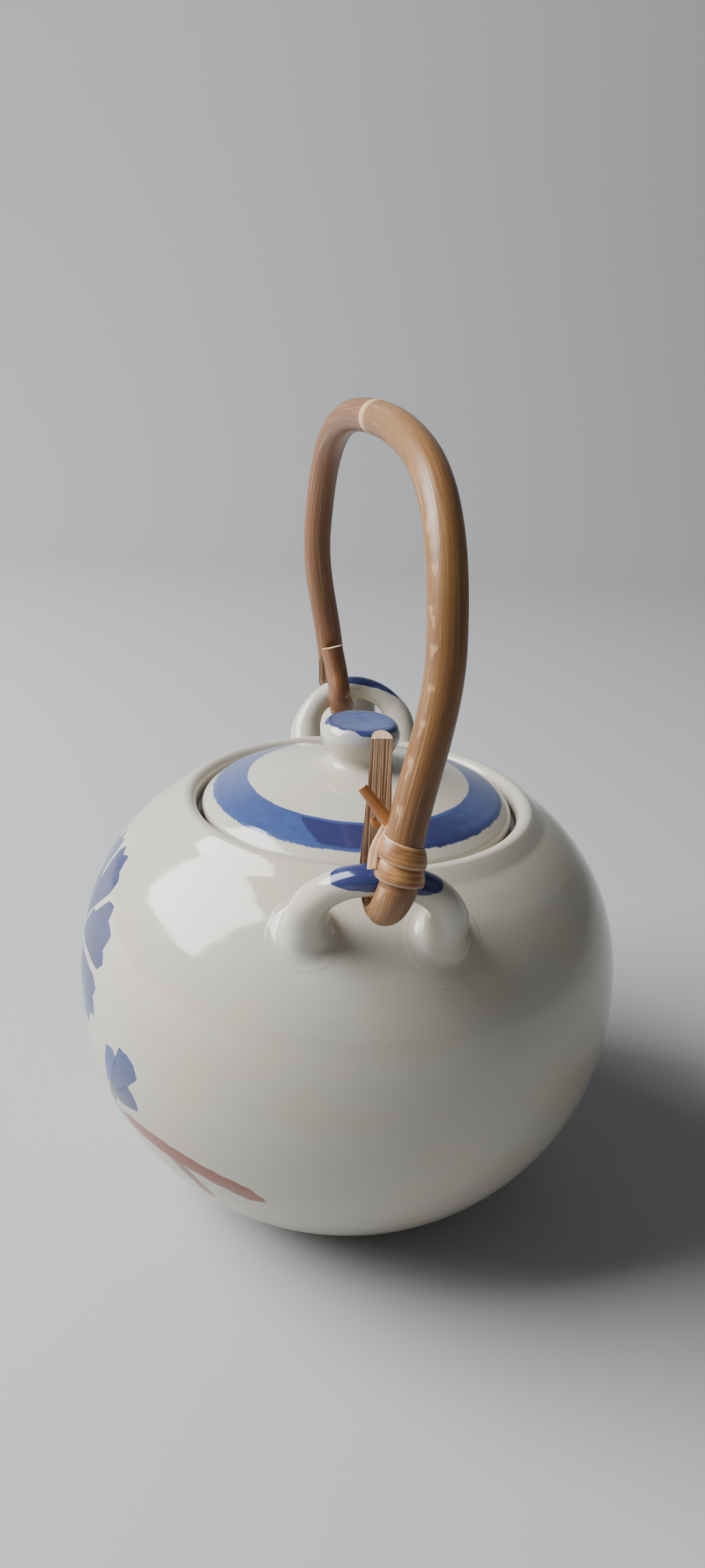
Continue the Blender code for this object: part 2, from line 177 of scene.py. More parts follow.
FRONT = Side("front", 1, -1.0, 4.4, 6.6, (
    (61.9, 4.6, 128.0, 0.2, 3.5),
    (64.0, 5.6, 133.0, 0.2, 3.5),
    (65.3, 7.5, 140.6, 0.2, 3.5),
))
BACK = Side("back", -1, -2.8, -1.4, 5.9, (
    (63.6, -1.5, 128.0, 0.2, 3.6),
    (64.8, -1.3, 134.0, 0.2, 3.2),
    (65.6, -1.0, 145.0, 0.2, 2.6),
    (66.6, -0.7, 157.2, 0.2, 2.2),
))


# ---------------------------------------------------------------- node arithmetic

class Field:
    """A number in a node tree that takes part in plain arithmetic."""

    def __init__(self, graph, socket):
        self.graph = graph
        self.socket = socket

    def __add__(self, other):
        return self.graph.math("ADD", self, other)

    def __radd__(self, other):
        return self.graph.math("ADD", other, self)

    def __sub__(self, other):
        return self.graph.math("SUBTRACT", self, other)

    def __rsub__(self, other):
        return self.graph.math("SUBTRACT", other, self)

    def __mul__(self, other):
        return self.graph.math("MULTIPLY", self, other)

    def __rmul__(self, other):
        return self.graph.math("MULTIPLY", other, self)

    def __truediv__(self, other):
        return self.graph.math("DIVIDE", self, other)

    def __rtruediv__(self, other):
        return self.graph.math("DIVIDE", other, self)


class Graph:
    """A material's node tree, with its Principled shader and short ways to add nodes."""

    def __init__(self, name):
        self.material = bpy.data.materials.new(name)
        self.material.use_nodes = True
        self.nodes = self.material.node_tree.nodes
        self.shader = self.nodes["Principled BSDF"]

    def feed(self, socket, value):
        if isinstance(value, Field):
            self.material.node_tree.links.new(value.socket, socket)
        else:
            socket.default_value = value

    def math(self, operation, *values):
        node = self.nodes.new("ShaderNodeMath")
        node.operation = operation
        for socket, value in zip(node.inputs, values):
            self.feed(socket, value)
        return Field(self, node.outputs[0])

    def step(self, value, low, high):
        """0 below low, 1 above high and smooth between them."""
        node = self.nodes.new("ShaderNodeMapRange")
        node.interpolation_type = "SMOOTHSTEP"
        self.feed(node.inputs["Value"], value)
        self.feed(node.inputs["From Min"], low)
        self.feed(node.inputs["From Max"], high)
        return Field(self, node.outputs["Result"])

    def split(self, socket, scale=1.0):
        node = self.nodes.new("ShaderNodeSeparateXYZ")
        self.material.node_tree.links.new(socket, node.inputs[0])
        return [Field(self, output) * scale for output in node.outputs]

    def place(self):
        """X, Y and Z of the surface point in millimetres at rest."""
        return self.split(self.nodes.new("ShaderNodeTexCoord").outputs["Object"], 1 / MM)

    def attribute(self, name):
        node = self.nodes.new("ShaderNodeAttribute")
        node.attribute_name = name
        return self.split(node.outputs["Vector"])

    def noise(self, x, y, z, detail=2.0, roughness=0.5):
        """Noise from 0 to 1 whose cells are one unit of x, y and z wide."""
        spot = self.nodes.new("ShaderNodeCombineXYZ")
        for socket, value in zip(spot.inputs, (x, y, z)):
            self.feed(socket, value)
        node = self.nodes.new("ShaderNodeTexNoise")
        node.inputs["Scale"].default_value = 1.0
        node.inputs["Detail"].default_value = detail
        node.inputs["Roughness"].default_value = roughness
        self.material.node_tree.links.new(spot.outputs[0], node.inputs["Vector"])
        return Field(self, node.outputs["Fac"])

    def specks(self, x, y, z, radius, share):
        """1 inside small scattered dots, one at most in each unit cell."""
        spot = self.nodes.new("ShaderNodeCombineXYZ")
        for socket, value in zip(spot.inputs, (x, y, z)):
            self.feed(socket, value)
        node = self.nodes.new("ShaderNodeTexVoronoi")
        node.inputs["Scale"].default_value = 1.0
        self.material.node_tree.links.new(spot.outputs[0], node.inputs["Vector"])
        dot = 1.0 - self.step(Field(self, node.outputs["Distance"]), radius * 0.6, radius)
        chosen = self.split(node.outputs["Color"])[0]
        return dot * self.step(chosen, 1 - share, 1 - share + 0.02)

    def mix(self, mask, low, high):
        node = self.nodes.new("ShaderNodeMix")
        node.data_type = "RGBA"
        self.feed(node.inputs[0], mask)
        self.feed(node.inputs[6], low)
        self.feed(node.inputs[7], high)
        return Field(self, node.outputs[2])

    def bump(self, height, distance, strength=1.0):
        """Bump from a height of 0 to 1 that stands for distance millimetres."""
        node = self.nodes.new("ShaderNodeBump")
        node.inputs["Strength"].default_value = strength
        node.inputs["Distance"].default_value = distance * MM
        self.feed(node.inputs["Height"], height)
        self.feed(self.shader.inputs["Normal"], Field(self, node.outputs["Normal"]))


# ---------------------------------------------------------------- mesh tools

def add_mesh(name, points, faces, material, crease=40, **attributes):
    """A smooth-shaded object from points in millimetres; creases stay sharp."""
    mesh = bpy.data.meshes.new(name)
    mesh.from_pydata([Vector(p) * MM for p in points], [], faces)
    for key, values in attributes.items():
        layer = mesh.attributes.new(key, "FLOAT_VECTOR", "POINT")
        layer.data.foreach_set("vector", np.asarray(values, np.float32).ravel())
    mesh.shade_smooth()
    mesh.set_sharp_from_angle(angle=math.radians(crease))
    mesh.materials.append(material)
    obj = bpy.data.objects.new(name, mesh)
    bpy.context.collection.objects.link(obj)
    return obj


def grid_faces(rows, columns, wrap=True, first=0):
    """Quads over rows x columns points; the columns close into a ring if wrap."""
    faces = []
    for i in range(rows - 1):
        for j in range(columns if wrap else columns - 1):
            k = (j + 1) % columns
            low = first + i * columns
            faces.append((low + j, low + k, low + columns + k, low + columns + j))
    return faces


def turned(name, outline, segments, material, shape=None, crease=40):
    """Spin an outline of (radius, z); a point on the axis closes it with a fan."""
    points = []
    faces = []
    ends = [outline[0][0] < 1e-6, outline[-1][0] < 1e-6]
    rows = outline[ends[0]:len(outline) - ends[1]]
    for r, z in rows:
        for j in range(segments):
            turn = math.tau * j / segments
            grown = r * (shape(turn, z) if shape else 1.0)
            points.append((grown * math.cos(turn), grown * math.sin(turn), z))
    faces += grid_faces(len(rows), segments)
    for closed, point, low in ((ends[0], outline[0], 0),
                               (ends[1], outline[-1], (len(rows) - 1) * segments)):
        if closed:
            points.append((0.0, 0.0, point[1]))
            for j in range(segments):
                pair = (low + j, low + (j + 1) % segments)
                faces.append((*(pair[::-1] if low == 0 else pair), len(points) - 1))
    return add_mesh(name, points, [face[::-1] for face in faces], material, crease)


def lofted(name, rings, material, crease=40, caps=True, **attributes):
    """Skin a list of equal closed rings, with flat caps at both ends."""
    sides = len(rings[0])
    points = [p for ring in rings for p in ring]
    faces = grid_faces(len(rings), sides)
    if caps:
        faces.append(tuple(range(sides))[::-1])
        faces.append(tuple(range(len(points) - sides, len(points))))
    return add_mesh(name, points, faces, material, crease, **attributes)


def bezier(points, t):
    """A cubic Bezier curve through vectors, at t from 0 to 1."""
    a, b, c, d = points
    s = 1.0 - t
    return a * s**3 + b * (3 * s * s * t) + c * (3 * s * t * t) + d * t**3


def arc_points(centre, radius, start, end, steps):
    """Points of an arc in the (radius, z) plane, angles in degrees."""
    points = []
    for i in range(steps + 1):
        angle = math.radians(start + (end - start) * i / steps)
        points.append((centre[0] + radius * math.cos(angle),
                       centre[1] + radius * math.sin(angle)))
    return points


def rounded(corners, steps):
    """Catmull-Rom interpolation of rows of numbers."""
    result = [list(corners[0])]
    padded = [corners[0]] + list(corners) + [corners[-1]]
    for a, b, c, d in zip(padded, padded[1:], padded[2:], padded[3:]):
        for i in range(1, steps + 1):
            t = i / steps
            result.append([0.5 * (2 * q + (r - p) * t + (2 * p - 5 * q + 4 * r - s) * t * t
                                  + (3 * q - p - 3 * r + s) * t**3)
                           for p, q, r, s in zip(a, b, c, d)])
    return result


# ---------------------------------------------------------------- glaze and paint

def finish_glaze(g, colour, place):
    """Cream glaze gloss: a clear, faintly wavy surface over the given colour."""
    x, y, z = place
    g.feed(g.shader.inputs["Base Color"], colour)
    smear = g.noise(x / 14, y / 14, z / 14, 3.0)
    g.feed(g.shader.inputs["Roughness"], 0.07 + smear * 0.10)
    g.shader.inputs["IOR"].default_value = 1.47
    g.shader.inputs["Coat Weight"].default_value = 0.12
    g.shader.inputs["Coat Roughness"].default_value = 0.04
    rings = g.noise(x / 60, y / 60, z / 3.4, 1.0)
    dimples = g.noise(x / 5, y / 5, z / 5, 2.0)
    g.bump(rings * 0.75 + dimples * 0.25, 0.13)
    return g.material


def cream(g, place):
    """The glaze's own colour: cream with warmer clouds and a few dark specks."""
    x, y, z = place
    clouds = g.step(g.noise(x / 30, y / 30, z / 18, 3.0), 0.35, 0.7)
    colour = g.mix(clouds, CREAM, CREAM_WARM)
    dots = g.specks(x / 7, y / 7, z / 7, 0.035, 0.35)
    dots = dots + g.specks(x / 3.1 + 9, y / 3.1, z / 3.1, 0.05, 0.12) * 0.5
    return g.mix(dots * 0.8, colour, SPECK)


def pigment(g, place, density):
    """Cobalt blue from thin wash to thick stroke, with the brush's streaks."""
    x, y, z = place
    blots = g.noise(x / 2.6, y / 2.6, z / 2.6, 3.0)
    return g.mix(g.step(density + (blots - 0.5) * 0.35, 0.0, 1.0), BLUE_WASH, BLUE_DEEP)


def plain_glaze(name):
    g = Graph(name)
    place = g.place()
    return finish_glaze(g, cream(g, place), place)


def stroke(g, u, v, start, end, widths, bend=0.0):
    """A brush stroke from start to end, tapering between two half widths."""
    length = math.dist(start, end)
    du, dv = (end[0] - start[0]) / length, (end[1] - start[1]) / length
    along = ((u - start[0]) * du + (v - start[1]) * dv) / length
    across = (v - start[1]) * du - (u - start[0]) * dv - along * (1.0 - along) * (4 * bend)
    half = widths[0] + along * (widths[1] - widths[0])
    ends = g.step(along, -0.02, 0.10) * (1.0 - g.step(along, 0.90, 1.02))
    gap = half * (0.35 + ends * 0.65) - g.math("ABSOLUTE", across)
    inside = g.step(gap, -0.12, 0.12)
    return inside * g.step(along, -0.02, 0.0) * (1.0 - g.step(along, 1.0, 1.02))


def blossom(g, u, v, centre, petals, reach):
    """A round flower of fan-shaped petals with toothed ends: (mask, density)."""
    x = u - centre[0]
    y = v - centre[1]
    out = g.math("SQRT", x * x + y * y)
    turn = g.math("ARCTAN2", y, x) * (petals / math.tau) + petals
    number = g.math("FLOOR", turn)
    place = (turn - number - 0.5) * 2.0
    uneven = g.noise(number * 3.7, 0.5, 2.5, 0.0)
    teeth = g.math("PINGPONG", place * 1.5 + 0.5, 0.5) * 5.0
    edge = reach * 0.72 + uneven * (reach * 0.42) + teeth - place * place * (reach * 0.16)
    side = 1.0 - g.math("ABSOLUTE", place) - 2.2 / (out + 1.0)
    mask = g.step(edge - out, -0.2, 0.2) * g.step(side, 0.0, 0.05) * g.step(out, 3.0, 3.4)
    streaks = g.noise(turn * 5.0, out / 16, 0.0, 2.0)
    density = 1.25 - out / reach * 0.6 + (streaks - 0.5) * 0.9 + (uneven - 0.5) * 0.7
    return mask, density


def painted_glaze(name):
    """The pot's glaze with a plain blue flower, a bud, leaves and a brown twig."""
    g = Graph(name)
    place = g.place()
    x, y, z = place
    radius = g.math("SQRT", x * x + y * y)
    shake = (g.noise(x / 4, y / 4, z / 4, 1.0) - 0.5) * 1.2
    u = g.math("ARCTAN2", 0.0 - x, y) * 70.0 + shake
    v = g.math("ARCTAN2", z - BELLY_Z, radius) * 70.0 + shake
    colour = cream(g, place)

    twigs = (((44, -21), (89, -26.5), (2.6, 3.0), 2.4), ((60, -21), (72, -36), (1.4, 2.2), 1.5),
             ((44, -21), (6, -40), (1.9, 1.3), -3.0), ((20, -32), (2, -46), (0.9, 1.2), 1.0))
    for start, end, widths, bend in twigs:
        mask = stroke(g, u, v, start, end, widths, bend)
        colour = g.mix(mask * 0.97, colour, TERRACOTTA)

    stems = (((9, 2), (26, -28), (0.7, 0.8), -3.0), ((41, -17), (30, -27), (0.7, 0.7), 1.0),
             ((-24, -6), (12, -35), (0.6, 0.7), 3.0))
    leaves = (((22, -18), (2, -26), (0.5, 2.6), 1.5), ((28, -24), (40, -38), (2.4, 0.6), -1.2),
              ((16, -8), (-6, -10), (0.5, 2.2), -1.6), ((-16, -20), (-34, -30), (2.2, 0.5), 1.0))
    for start, end, widths, bend in stems + leaves:
        colour = g.mix(stroke(g, u, v, start, end, widths, bend) * 0.9, colour, LEAF_GREEN)

    petals = (((41, -14), (44.5, 0), (2.2, 2.8), 0.0), ((42, -14), (53, 1.5), (2.0, 4.6), 0.0),
              ((43, -15), (53.5, -9.5), (2.0, 3.4), 0.0), ((-24, -5), (-30, 8), (1.6, 3.6), 0.5),
              ((-24, -5), (-21, 8), (1.6, 3.2), -0.5))
    for index, (start, end, widths, bend) in enumerate(petals):
        mask = stroke(g, u, v, start, end, widths, bend)
        tint = pigment(g, place, 0.4 + 0.2 * (index % 3))
        colour = g.mix(mask * 0.93, colour, tint)
    calyx = (((38.5, -19.5), (43, -12.5), (1.6, 2.0), 0.0), ((-25, -9), (-24.5, -3), (1.8, 1.4), 0.0))
    for start, end, widths, bend in calyx:
        colour = g.mix(stroke(g, u, v, start, end, widths, bend) * 0.95, colour, LEAF_GREEN)

    for petal_count, reach, centre in ((8, 27.0, (9, 14)), (7, 15.0, (9, 14))):
        mask, density = blossom(g, u, v, centre, petal_count, reach)
        colour = g.mix(mask * 0.93, colour, pigment(g, place, density))

    bare = (1.0 - g.step(z, 0.9, 1.5)) * g.step(FOOT_R + 0.8 - radius, 0.0, 0.2)
    colour = g.mix(bare, colour, BARE_CLAY)
    return finish_glaze(g, colour, place)


def lid_glaze(name):
    """Lid glaze with a blue band, laid with one brush that overlaps itself in front."""
    g = Graph(name)
    place = g.place()
    x, y, z = place
    radius = g.math("SQRT", x * x + y * y)
    turn = g.math("ARCTAN2", y, 0.0 - x)
    shake = g.noise(x / 5, y / 5, z / 5, 2.0) - 0.5
    ragged = g.noise(x / 1.1, y / 1.1, 0.0, 2.0) - 0.5
    inner = g.step(radius + shake * 0.7, 29.6, 29.95)
    outer = 1.0 - g.step(radius + shake * 0.9 + ragged * 0.8, 38.8, 39.2)
    top = g.step(z, LID_EDGE_Z - 1, LID_EDGE_Z)
    streaks = g.noise(radius / 1.3, turn * 1.6, 0.0, 2.0)
    start = g.step(0.56 - turn - (radius - 30.0) * 0.034 + ragged * 0.03, 0.0, 0.04)
    stop = g.step(turn, -1.25, -0.25)
    front = g.step(radius + shake, 30.4, 31.0) * (1.0 - g.step(radius + turn * 1.6 + ragged, 37.6, 38.8))
    overlap = start * stop * front
    fade = g.step(0.0 - g.math("COSINE", turn), -1.0, 1.0)
    density = 0.44 - fade * 0.22 + (streaks - 0.5) * 0.35 + overlap * 0.62
    colour = g.mix(inner * outer * top * (0.95 - fade * 0.12), cream(g, place), pigment(g, place, density))
    return finish_glaze(g, colour, place)


def knob_glaze(name):
    """Knob glaze, its top brushed blue with an uneven edge."""
    g = Graph(name)
    place = g.place()
    x, y, z = place
    shake = g.noise(x / 3.5, y / 3.5, 0.0, 2.0) - 0.5
    streaks = g.noise(x / 1.0 + y / 3, y / 7 - x / 9, 0.0, 2.0)
    notch = g.step(x * -0.75 + y * 0.66, 7.4, 8.2) * 0.9
    edge = g.step(z + shake * 1.2 - notch, LID_TOP_Z - 1.25, LID_TOP_Z - 1.0)
    front = g.step(y * -0.5 - x, 2.0, 9.0)
    wash = g.step(z + shake * 1.5, LID_TOP_Z - 5.5, LID_TOP_Z - 1.4) * front * 0.32
    rim = g.step(x * x + y * y, 30.0, 80.0) * 0.3
    density = 0.42 + rim + (streaks - 0.5) * 1.1
    colour = g.mix(wash, cream(g, place), BLUE_WASH)
    colour = g.mix(edge * 0.94, colour, pigment(g, place, density))
    return finish_glaze(g, colour, place)


def lug_glaze(name, low_y, high_y, depth):
    """Lug glaze with a blue patch along the top of the bar from low_y to high_y."""
    g = Graph(name)
    place = g.place()
    x, y, z = place
    outward, _, _ = g.attribute("skin")
    shake = g.noise(x / 3, y / 3, z / 3, 2.0) - 0.5
    length = g.step(y + shake, low_y, low_y + 0.5) * (1.0 - g.step(y + shake, high_y - 0.5, high_y))
    lens = (y - (low_y + high_y) / 2) / ((high_y - low_y) / 2)
    patch = length * g.step(outward + shake * 0.2 - lens * lens * 0.9, depth, depth + 0.06)
    streaks = g.noise(x / 1.2, y / 6, z / 1.2, 2.0)
    colour = g.mix(patch * 0.95, cream(g, place), pigment(g, place, 0.8 + (streaks - 0.5) * 0.8))
    return finish_glaze(g, colour, place)


# ---------------------------------------------------------------- rattan

BARK_TAN = (0.235, 0.112, 0.035, 1)
BARK_ROSY = (0.175, 0.068, 0.026, 1)
BARK_DARK = (0.16, 0.065, 0.025, 1)
BARK_PALE = (0.66, 0.42, 0.21, 1)
FIBRE_PALE = (0.64, 0.46, 0.28, 1)
FIBRE_BROWN = (0.27, 0.13, 0.065, 1)


def cane_material():
    """Varnished bark with leaf-scar marks, and striped fibres where it is pared.

    The cane's "straight" attribute is the point in the unbent cane: towards the bend's
    inner side, across, and along from the top of the arch (rear half positive). Its
    "cutting" attribute is 1 on the pared flat.
    """
    g = Graph("rattan_cane_bark")
    inward, across, along = g.attribute("straight")
    pared, end_cut, _ = g.attribute("cutting")

    rear = g.step(along, -1.5, 1.5)
    low = g.step(g.math("ABSOLUTE", along), 70.0, 130.0)
    patches = g.noise(inward / 6, across / 6, along / 26, 3.0)
    base = g.mix(rear * (1.0 - low * 0.45), BARK_ROSY, BARK_TAN)
    base = g.mix(g.step(patches, 0.42, 0.72) * 0.7, base, BARK_DARK)
    mottle = g.noise(inward / 1.7, across / 1.7, along / 3.5, 4.0, 0.65)
    base = g.mix(g.step(mottle, 0.40, 0.75) * 0.42, base, BARK_DARK)
    grain = g.noise(inward / 0.35, across / 0.35, along / 22, 2.0)
    base = g.mix(g.step(grain, 0.5, 0.8) * 0.35, base, BARK_PALE)

    turn = g.math("ARCTAN2", across, 0.0 - inward)
    pitch = along / 8.4 + g.noise(along / 30, 0.0, 0.0, 0.0) * 1.6
    tooth = pitch - g.math("FLOOR", pitch)
    wander = (g.noise(along / 7, 3.0, 0.0, 1.0) - 0.5) * 0.9
    lower = g.step(along, 35.0, 90.0)
    for row, strength in ((1.02, lower * 0.42), (-0.85, (1.0 - lower) * 0.3)):
        off = g.math("ABSOLUTE", turn + wander - row)
        triangle = g.step(0.38 - tooth * 0.5 - off + (mottle - 0.5) * 1.1, 0.0, 0.2)
        base = g.mix(triangle * g.step(tooth, 0.04, 0.22) * strength, base, BARK_PALE)

    near_node = g.math("ABSOLUTE", along + (mottle - 0.5) * 0.8)
    collar = (1.0 - g.step(near_node, 2.0, 3.1)) * 0.75
    groove = 1.0 - g.step(g.math("ABSOLUTE", along - 1.9 + (patches - 0.5) * 2.2), 0.1, 0.45)
    base = g.mix(collar, base, BARK_PALE)
    base = g.mix(groove * 0.75, base, BARK_DARK)

    stripes = g.noise(across / 0.42, 2.0, along / 38, 2.0, 0.6)
    threads = g.noise(across / 0.13, 5.0, along / 12, 2.0)
    fibres = g.mix(g.step(stripes + (threads - 0.5) * 0.35, 0.44, 0.58), FIBRE_PALE, FIBRE_BROWN)
    pores = g.noise(inward / 0.3, across / 0.3, 0.0, 2.0)
    cut = g.mix(g.step(pores, 0.4, 0.7), FIBRE_PALE, FIBRE_BROWN)
    colour = g.mix(g.step(pared, 0.4, 0.7), base, fibres)
    colour = g.mix(g.step(end_cut, 0.4, 0.7), colour, cut)
    g.feed(g.shader.inputs["Base Color"], colour)
    g.feed(g.shader.inputs["Roughness"], 0.30 + mottle * 0.16 + g.step(pared + end_cut, 0.4, 0.7) * 0.4)
    relief = mottle * 0.2 + grain * 0.25 - groove * 0.5 - collar * 0.1
    g.bump(relief * (1.0 - pared) + (stripes * 0.8 + threads * 0.3) * pared, 0.28)
    return g.material


def strip_material(name, light, dark, pale_edge=0.6):
    """A split rattan strip: glossy skin, darker along its middle, pale cut edges.

    Its "weave" attribute is across from -1 to 1, around in millimetres, and skin 1 or 0.
    """
    g = Graph(name)
    across, along, skin = g.attribute("weave")
    streaks = g.noise(across * 3.5, along / 16, 1.0, 3.0, 0.6)
    blotch = g.noise(across * 0.8, along / 5, 4.0, 2.0)
    colour = g.mix(g.step(streaks * 0.6 + blotch * 0.4, 0.35, 0.62), light, dark)
    edge = g.step(g.math("ABSOLUTE", across), 0.78, 0.98)
    colour = g.mix(edge * pale_edge, colour, FIBRE_PALE)
    colour = g.mix((1.0 - skin) * 0.6, colour, FIBRE_PALE)
    g.feed(g.shader.inputs["Base Color"], colour)
    g.feed(g.shader.inputs["Roughness"], 0.24 + streaks * 0.22 + edge * 0.2)
    g.bump(streaks, 0.12)
    return g.material


# ---------------------------------------------------------------- pot

def superellipse(radius, height, power, start, end, steps):
    """Quarter outline round the belly's centre; start and end in degrees above it."""
    points = []
    for i in range(steps + 1):
        angle = math.radians(start + (end - start) * i / steps)
        z = abs(math.sin(angle)) ** (2 / power) * height
        points.append((radius * math.cos(angle) ** (2 / power), BELLY_Z + math.copysign(z, angle)))
    return points


def angle_at_radius(radius, belly, power):
    """The superellipse angle, in degrees, at which the outline has this radius."""
    return math.degrees(math.acos((radius / belly) ** (power / 2)))


def belly_level(p):
    """Below 0 inside the pot's outer wall, above 0 outside it, with its gradient."""
    r = math.hypot(p[0], p[1])
    z = p[2] - BELLY_Z
    power, height = (SHOULDER_POWER, SHOULDER_H) if z > 0 else (LOWER_POWER, LOWER_H)
    level = (r / BELLY_R) ** power + (abs(z) / height) ** power - 1
    steep_r = power * (r / BELLY_R) ** (power - 1) / BELLY_R
    steep_z = math.copysign(power * (abs(z) / height) ** (power - 1) / height, z)
    return level, Vector((steep_r * p[0] / r, steep_r * p[1] / r, steep_z))


def onto_belly(p, depth=0.0):
    """The nearest point of the outer wall, sunk into it by depth."""
    p = Vector(p)
    for _ in range(4):
        level, slope = belly_level(p)
        p = p - slope * (level / slope.length_squared)
    return p - belly_level(p)[1].normalized() * depth


def make_pot():
    inner = BELLY_R - WALL
    top = angle_at_radius(56.0, inner, SHOULDER_POWER)
    outline = [(0.0, FLOOR_Z)]
    outline += superellipse(inner, BELLY_Z - FLOOR_Z, FLOOR_POWER, -78, 0, 24)
    outline += superellipse(inner, SHOULDER_H - WALL, SHOULDER_POWER, 0, top, 20)[1:]
    outline += rounded([(52.0, 103.6), (46.0, 106.0), (40.0, 107.5), (37.6, 108.4)], 4)
    outline += [(THROAT_R, 109.2), (THROAT_R, 110.8), (THROAT_R + 0.3, 111.4)]
    outline += [(THROAT_R + 1.0, LEDGE_Z), (MOUTH_R - 0.9, LEDGE_Z), (MOUTH_R - 0.2, LEDGE_Z + 0.3)]
    outline += arc_points((LIP_R - 0.2, LIP_Z - 2.6), 2.6, 180, 62, 16)
    top = angle_at_radius(51.0, BELLY_R, SHOULDER_POWER)
    bottom = angle_at_radius(FOOT_R + 0.6, BELLY_R, LOWER_POWER)
    shoulder = superellipse(BELLY_R, SHOULDER_H, SHOULDER_POWER, top, 0, 60)
    lip_out = outline[-1]
    outline += rounded([lip_out, (48.4, 116.15), shoulder[0]], 5)[1:-1]
    outline += shoulder
    outline += superellipse(BELLY_R, LOWER_H, LOWER_POWER, 0, -bottom, 44)[1:]
    outline += [(FOOT_R + 0.1, 2.6), (FOOT_R, 1.6), (FOOT_R - 0.3, 0.7), (FOOT_R - 0.9, 0.15)]
    outline += [(FOOT_R - 1.7, 0.0), (FOOT_R * 0.7, 0.0), (0.0, 0.0)]

    def throwing(turn, z):
        """Shallow throwing rings, cut inwards, and a trace of unevenness."""
        ring = 0.5 + 0.5 * math.sin(z * 0.62 + math.sin(turn + z * 0.05) * 0.9)
        return 1.0 - 0.0005 * ring - 0.0004 * (1 + math.sin(2 * turn + 0.6))

    pot = turned("pot_glazed_body", outline, POT_SEGMENTS, painted_glaze("glaze_painted"), throwing)
    pierce(pot)
    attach(pot, "pot")
    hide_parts("pot_body")


def pierce(pot):
    """Cut the strainer holes through the wall behind the spout."""
    centres = [(0.0, STRAINER_Z)]
    for i in range(STRAINER_HOLES):
        turn = math.tau * (i + 0.5) / STRAINER_HOLES
        centres.append((STRAINER_RING_R * math.cos(turn),
                        STRAINER_Z + STRAINER_RING_R * math.sin(turn)))
    sides = 20
    for y, z in centres:
        rings = []
        for x in (60.0, 84.0):
            rings.append([(x, y + STRAINER_HOLE_R * math.cos(math.tau * k / sides),
                           z + STRAINER_HOLE_R * math.sin(math.tau * k / sides))
                          for k in range(sides)])
        pin = lofted("strainer_pin", rings, pot.data.materials[0])
        hole = pot.modifiers.new("strainer", "BOOLEAN")
        hole.operation = "DIFFERENCE"
        hole.solver = "EXACT"
        hole.object = pin
        bpy.context.view_layer.objects.active = pot
        bpy.ops.object.modifier_apply(modifier=hole.name)
        bpy.data.objects.remove(pin, do_unlink=True)


# ---------------------------------------------------------------- luted pieces

def crossing(line, outside, inside):
    """The parameter at which a line goes into the outer wall, by bisection."""
    for _ in range(40):
        middle = (outside + inside) / 2
        if belly_level(line(middle))[0] > 0:
            outside = middle
        else:
            inside = middle
    return outside


def fillet(line, centre, at, back, spread, steps):
    """Points that leave a line before it meets the wall and run out tangent to it."""
    start = Vector(line(at + back))
    corner = Vector(line(at))
    normal = belly_level(corner)[1].normalized()
    away = corner - centre
    away = (away - normal * away.dot(normal)).normalized()
    end = onto_belly(corner + away * spread)
    points = []
    for i in range(steps + 1):
        t = i / steps
        points.append(start * (1 - t) ** 2 + corner * (2 * t * (1 - t)) + end * t * t)
    points.append(onto_belly(end + away * 0.5, 0.02))
    points.append(onto_belly(end + away * 1.2, 0.25))
    return points


def lug_arch_centre():
    """Distance from the axis and height of the lug arch's centre."""
    return (LUG_TOP_X - LUG_ARCH_R * math.sin(LUG_LEAN),
            LUG_TOP_Z - LUG_ARCH_R * math.cos(LUG_LEAN))


def lug_section(side, s):
    """Centre, outward direction, thickness direction and radius at s mm from the apex."""
    quarter = LUG_ARCH_R * math.pi / 2
    angle = max(-math.pi / 2, min(math.pi / 2, s / LUG_ARCH_R))
    drop = max(0.0, abs(s) - quarter)
    reach, height = lug_arch_centre()
    up = Vector((side.sign * math.sin(LUG_LEAN), 0, math.cos(LUG_LEAN)))
    sideways = Vector((0, 1, 0))
    outward = sideways * math.sin(angle) + up * math.cos(angle)
    centre = Vector((side.sign * reach, side.lug_y, height)) + outward * LUG_ARCH_R - up * drop
    thick = Vector((side.sign * math.cos(LUG_LEAN), 0, -math.sin(LUG_LEAN)))
    swell = max(0.0, abs(math.degrees(angle)) - 30) / 60
    radius = LUG_BAR_R + (LUG_FOOT_R - LUG_BAR_R) * (swell * swell * 0.6 + min(drop / 8, 1) * 0.4)
    return centre, outward, thick, radius


